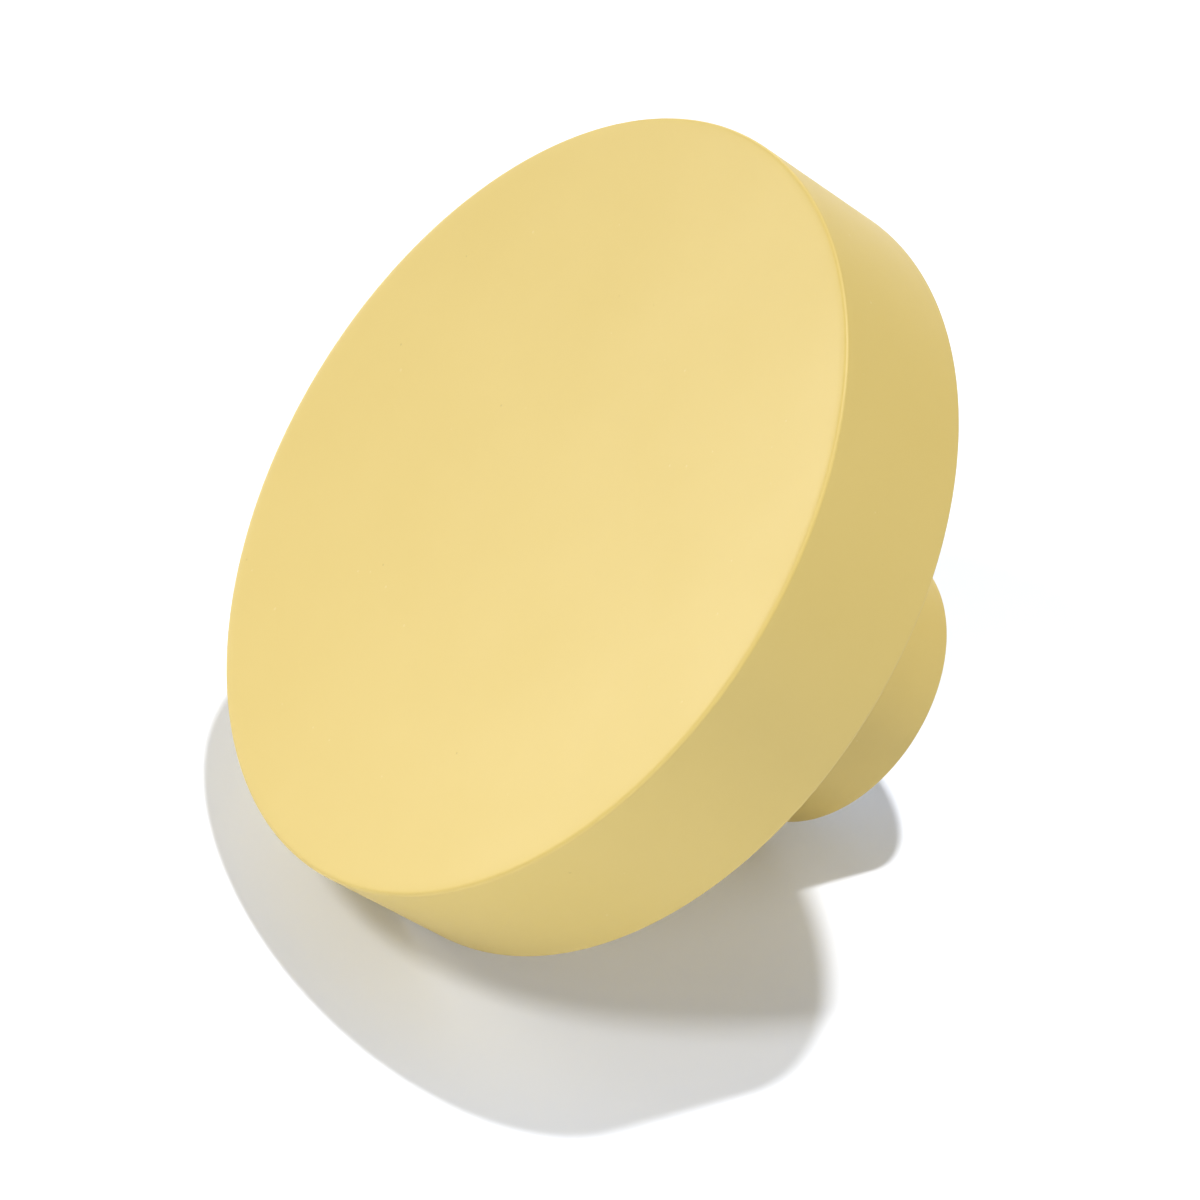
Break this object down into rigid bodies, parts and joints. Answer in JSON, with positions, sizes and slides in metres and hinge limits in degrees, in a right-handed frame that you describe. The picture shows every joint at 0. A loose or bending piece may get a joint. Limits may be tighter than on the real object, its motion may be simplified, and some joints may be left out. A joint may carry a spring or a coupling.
{
  "type": "wall hook",
  "caption": "Wall hook with a thick round head, dished in front, on a round stem that slides over a hidden wall boss and is locked by a grub screw.",
  "frame": {"origin": "centre of the wall boss's base, on the plane of the wall", "axes": "+Z out of the wall, along the stem and through the middle of the head; +Y up along the wall; the grub screw is underneath, at -Y"},
  "size_m": [0.08, 0.08, 0.045],
  "materials": {
    "yellow_lacquer": "satin",
    "black_steel": "satin",
    "zinc_steel": "satin",
    "bare_aluminium": "satin"
  },
  "bodies": {
    "wall_fixing": {"wall_boss": "bare_aluminium"},
    "hook": {"head_disc": "yellow_lacquer", "stem": "yellow_lacquer", "joining_screw": "black_steel", "spring_washer": "zinc_steel", "dowel_pin": "zinc_steel"},
    "lock": {"grub_screw": "black_steel"}
  },
  "joints": [
    {"name": "hook_pull_off", "type": "slide", "parent": "wall_fixing", "child": "hook", "axis": [0, 0, 1], "range_m": [0, 0.03]},
    {"name": "grub_screw_travel", "type": "slide", "parent": "hook", "child": "lock", "axis": [0, -1, 0], "range_m": [-0.0011, 0.0015]}
  ]
}
